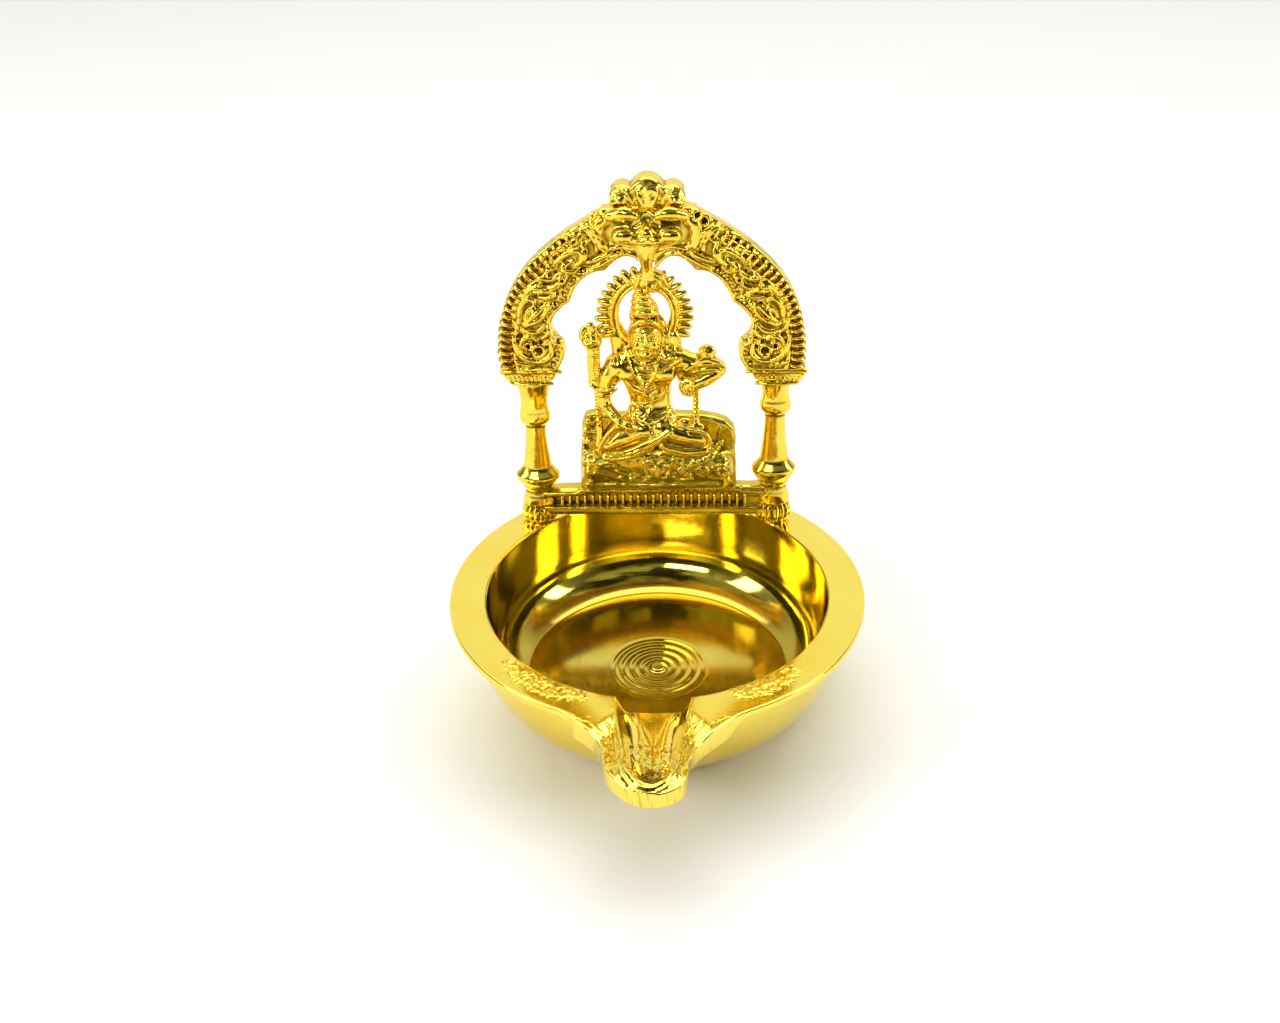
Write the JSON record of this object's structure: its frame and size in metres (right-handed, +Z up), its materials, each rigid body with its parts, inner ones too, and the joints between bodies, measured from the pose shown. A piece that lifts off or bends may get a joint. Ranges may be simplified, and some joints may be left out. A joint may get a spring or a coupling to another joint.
{
  "type": "oil lamp",
  "caption": "Brass diya oil lamp: a round footed bowl with a flat rim and a wick spout, and a pierced shrine plate with a seated figure standing at the back of the rim.",
  "frame": {"origin": "centre of the flat underside of the bowl's foot, on the bowl's axis", "axes": "+Z up along the bowl's axis; the wick spout points to -Y and the shrine plate stands towards +Y; +X is to the right as the lamp is looked at from its spout"},
  "size_m": [0.085, 0.1032, 0.1058],
  "materials": {
    "turned_brass": "turned and polished brass, mirror bright in the bowl",
    "cast_brass": "cast and hand-chased brass, polished on the high spots and darker in the recesses",
    "pin_brass": "drawn brass rod, plain"
  },
  "bodies": {
    "root": {"bowl": "turned_brass", "left_pillar": "cast_brass", "right_pillar": "cast_brass", "arch": "cast_brass", "finial": "cast_brass", "guardian_mask": "cast_brass", "base_rail": "cast_brass", "pedestal": "cast_brass", "seated_figure": "cast_brass", "halo": "cast_brass", "trident": "cast_brass", "hand_staff": "cast_brass", "fixing_pins": "pin_brass"}
  },
  "joints": []
}
